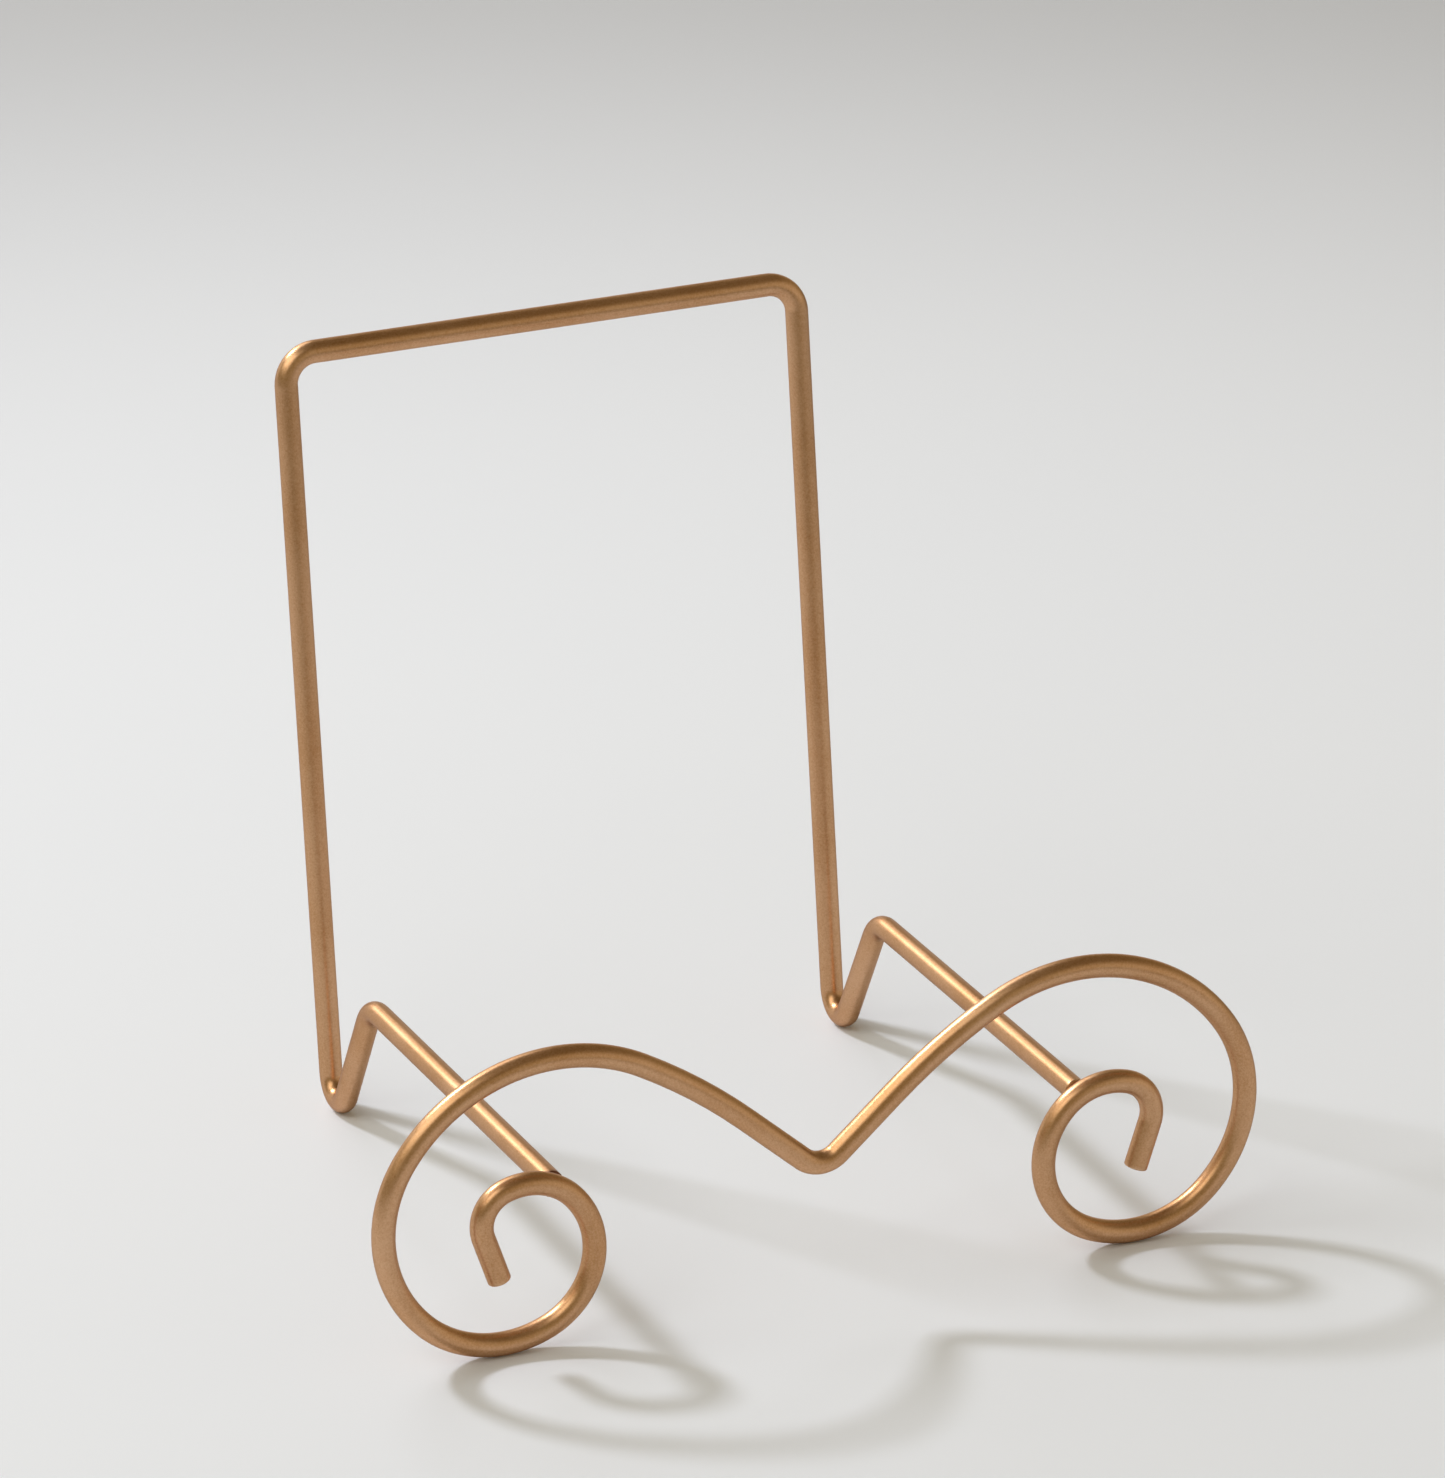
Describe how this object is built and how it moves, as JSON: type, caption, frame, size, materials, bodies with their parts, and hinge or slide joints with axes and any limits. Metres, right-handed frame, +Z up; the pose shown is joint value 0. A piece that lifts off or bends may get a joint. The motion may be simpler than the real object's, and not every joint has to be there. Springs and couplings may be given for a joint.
{
  "type": "photo album stand",
  "caption": "Bent round-rod album stand: leaning back frame, two arms that run forward, and a scrolled front rail with a dip in the middle.",
  "frame": {"origin": "on the table, at the middle of the stand's outline seen from above", "axes": "+X to the right seen from the front, -Y towards the viewer (the scroll's side), +Y towards the leaning back frame, +Z up"},
  "size_m": [0.2496, 0.199, 0.2125],
  "materials": {
    "rod": "satin copper-bronze plating on steel rod, fine grain, warm highlights",
    "weld": "satin copper-bronze plating over a small weld bead, slightly darker and lumpier"
  },
  "bodies": {
    "root": {"back_frame": "rod", "front_scroll": "rod", "weld_left": "weld", "weld_right": "weld"}
  },
  "joints": []
}
